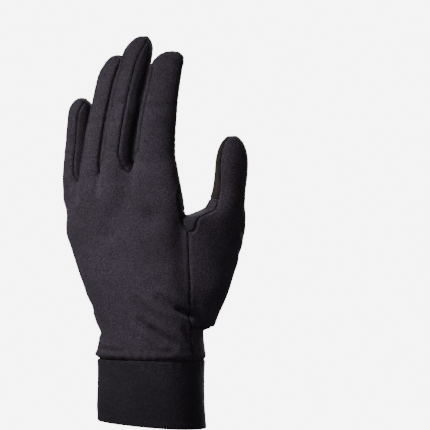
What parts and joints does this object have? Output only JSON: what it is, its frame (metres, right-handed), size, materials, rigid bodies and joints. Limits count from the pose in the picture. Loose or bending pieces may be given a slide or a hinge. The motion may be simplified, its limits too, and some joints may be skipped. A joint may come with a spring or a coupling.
{
  "type": "glove liner",
  "caption": "Thin dark knit liner for a left hand, worn form, with strips between the fingers, touch patches on thumb and index and a doubled cuff.",
  "frame": {"origin": "centre of the cuff's open lower rim, where the wrist goes in", "axes": "+Z from the wrist to the fingertips, -Y out of the back of the hand, +X to the thumb's side"},
  "size_m": [0.1168, 0.0671, 0.251],
  "materials": {
    "knit": "matt fine knit, near-black with a purple tint",
    "inset_knit": "matt fine knit, a shade darker",
    "cuff_knit": "matt smooth doubled knit",
    "touch_patch": "smooth brown-black touch cloth",
    "strip": "brown-black grained cloth",
    "tab": "dense black ribbon, bare"
  },
  "bodies": {
    "root": {"back_panel": "knit", "palm_panel": "knit", "fourchette_index_middle": "inset_knit", "fourchette_middle_ring": "inset_knit", "fourchette_ring_little": "inset_knit", "thumb_outer_panel": "knit", "thumb_inner_panel": "inset_knit", "thumb_touch_patch": "touch_patch", "index_touch_patch": "touch_patch", "cuff": "cuff_knit", "cuff_strip": "strip", "label_tab": "tab"}
  },
  "joints": []
}
